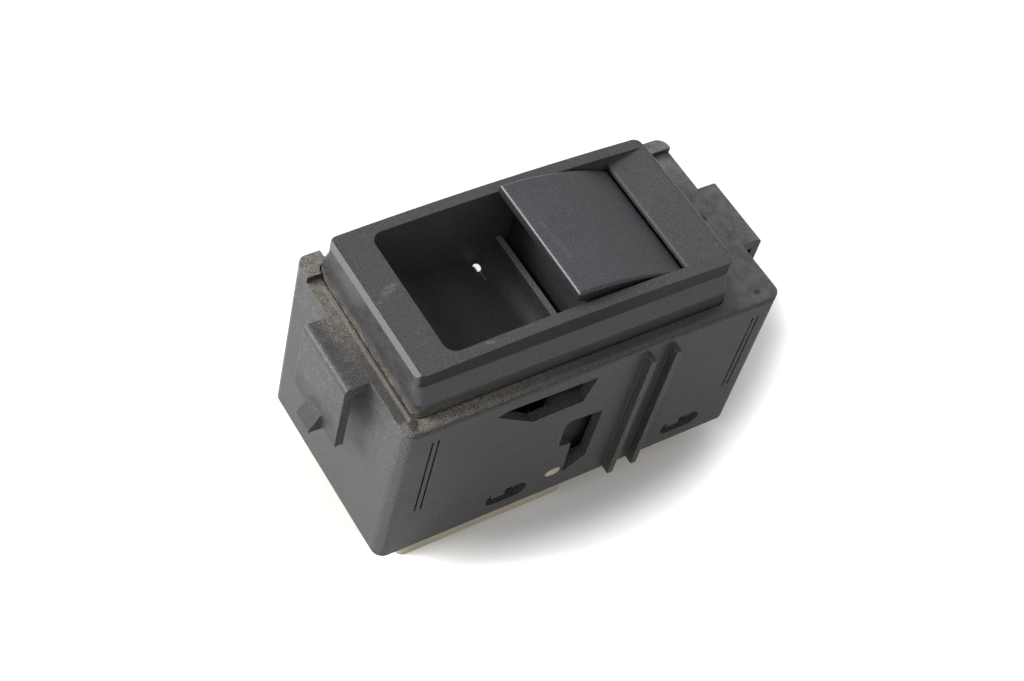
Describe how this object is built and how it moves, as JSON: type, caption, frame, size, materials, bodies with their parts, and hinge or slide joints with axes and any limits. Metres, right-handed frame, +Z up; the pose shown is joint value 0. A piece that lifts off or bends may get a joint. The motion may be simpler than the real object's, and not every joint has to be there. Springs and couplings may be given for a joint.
{
  "type": "power window switch",
  "caption": "Snap-in car door power window switch with a rocking pull-up and push-down key in a trim bezel with a finger well and a connector socket below.",
  "frame": {"origin": "on the resting face under the base, below the middle of the case", "axes": "+X along the case towards the key, +Z up out of the finger well, +Y across towards the side with the corner posts"},
  "size_m": [0.067, 0.0305, 0.0413],
  "materials": {
    "case_black": "fine spark-eroded grain, dusty, dull",
    "trim_black": "fine grain, satin, lightly scratched",
    "key_black": "fine grain, satin",
    "slider_natural": "natural acetal, smooth",
    "base_cream": "natural glass-filled polyester, smooth",
    "board_green": "solder mask over laminate",
    "led_epoxy": "clear epoxy",
    "resistor_black": "ceramic body with a dark glaze",
    "guide_clear": "clear acrylic",
    "contact_brass": "bright, plated",
    "spring_steel": "drawn wire"
  },
  "bodies": {
    "case": {"housing": "case_black", "bezel": "trim_black", "base": "base_cream", "terminal_battery": "contact_brass", "terminal_ground": "contact_brass", "terminal_motor_up": "contact_brass", "terminal_motor_down": "contact_brass", "terminal_up_input": "contact_brass", "terminal_down_input": "contact_brass", "terminal_lamp": "contact_brass", "lamp_board": "board_green", "led": "led_epoxy", "resistor": "resistor_black", "light_guide": "guide_clear", "return_spring_front": "spring_steel", "return_spring_rear": "spring_steel"},
    "key": {"key": "key_black"},
    "slider": {"slider": "slider_natural", "contact_bridge_up": "contact_brass", "contact_bridge_down": "contact_brass", "contact_spring_up": "spring_steel", "contact_spring_down": "spring_steel"}
  },
  "joints": [
    {"name": "key_tilt", "type": "hinge", "parent": "case", "child": "key", "pos_m": [0.0082, 0, 0.03], "axis": [0, 1, 0], "range_deg": [-8, 8], "stiffness_Nm_per_rad": 0.15, "deforming": ["return_spring_front", "return_spring_rear"]},
    {"name": "slider_slide", "type": "slide", "parent": "case", "child": "slider", "axis": [1, 0, 0], "range_m": [-0.00188, 0.00188]}
  ],
  "couplings": [
    {"joint": "key_tilt", "follows": "slider_slide", "rad_per_m": -74.294}
  ]
}
